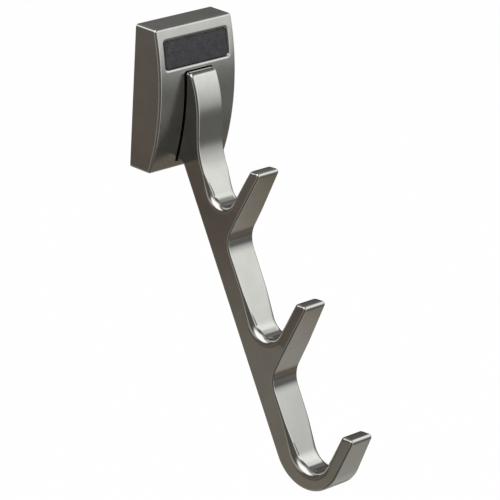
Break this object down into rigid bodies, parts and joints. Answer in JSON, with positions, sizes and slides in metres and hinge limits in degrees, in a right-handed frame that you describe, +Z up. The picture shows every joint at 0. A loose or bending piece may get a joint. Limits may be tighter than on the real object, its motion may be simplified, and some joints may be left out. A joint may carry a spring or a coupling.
{
  "type": "waterfall clothes hook",
  "caption": "Wall-mounted waterfall clothes hook: bowed cast housing with a soft dark inlay, and a sloping arm with upturned prongs and a J-shaped end.",
  "frame": {"origin": "middle of the wall bracket's back, on the wall, halfway between its two screw holes", "axes": "+Y into the wall along the wall screws, the front looks towards -Y, +Z up, +X to the side"},
  "size_m": [0.04, 0.1101, 0.1641],
  "materials": {
    "satin_metal": "satin nickel plating on zinc die casting",
    "soft_inlay": "dark pebbled soft pad",
    "zinc_steel": "zinc-plated steel"
  },
  "bodies": {
    "root": {"housing": "satin_metal", "inlay": "soft_inlay", "arm": "satin_metal", "arm_screws": "zinc_steel", "wall_bracket": "zinc_steel", "clamp_screw": "zinc_steel"}
  },
  "joints": []
}
